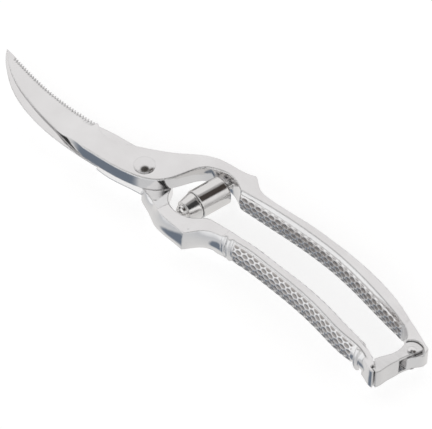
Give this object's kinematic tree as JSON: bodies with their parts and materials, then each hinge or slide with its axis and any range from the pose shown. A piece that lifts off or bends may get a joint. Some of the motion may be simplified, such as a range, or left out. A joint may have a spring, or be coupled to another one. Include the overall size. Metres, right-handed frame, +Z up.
{
  "type": "poultry shears",
  "caption": "All-metal poultry shears with curved serrated blade, bone notch, enclosed return spring barrel, dimpled grips and a swinging end latch.",
  "frame": {"origin": "where the blade pivot's axis meets the resting plane, at the middle of the pivot nut's flush face", "axes": "+Z up along the pivot axis, +X along the handles towards the latch, blade tips towards -X"},
  "size_m": [0.2527, 0.0443, 0.0149],
  "materials": {
    "polished_steel": "mirror polished stainless steel",
    "turned_steel": "turned and polished steel",
    "fastener_steel": "polished fastener steel",
    "spring_steel": "drawn spring wire",
    "latch_steel": "polished folded sheet"
  },
  "bodies": {
    "lower_half": {"plain_half": "polished_steel", "pivot_screw": "fastener_steel", "pivot_nut": "fastener_steel", "lower_spring_peg": "turned_steel"},
    "upper_half": {"serrated_half": "polished_steel", "upper_spring_peg": "turned_steel", "latch_rivet": "fastener_steel"},
    "plunger": {"spring_plunger": "turned_steel", "return_spring": "spring_steel"},
    "cup": {"spring_cup": "turned_steel"},
    "latch": {"latch": "latch_steel"}
  },
  "joints": [
    {"name": "blade_pivot", "type": "hinge", "parent": "lower_half", "child": "upper_half", "pos_m": [0, 0, 0.0068], "axis": [0, 0, 1], "range_deg": [0, 26], "deforming": ["return_spring"]},
    {"name": "plunger_swivel", "type": "hinge", "parent": "lower_half", "child": "plunger", "pos_m": [0.0261, -0.0042, 0.0068], "axis": [0, 0, 1], "range_deg": [0, 23]},
    {"name": "cup_swivel", "type": "hinge", "parent": "upper_half", "child": "cup", "pos_m": [0.0298, 0.0192, 0.0068], "axis": [0, 0, 1], "range_deg": [-5, 0]},
    {"name": "latch_swing", "type": "hinge", "parent": "upper_half", "child": "latch", "pos_m": [0.1478, 0.0062, 0.0068], "axis": [0, 0, 1], "range_deg": [0, 95]}
  ],
  "couplings": [
    {"joint": "plunger_swivel", "follows": "blade_pivot", "ratio": 0.85},
    {"joint": "cup_swivel", "follows": "blade_pivot", "ratio": -0.15}
  ]
}
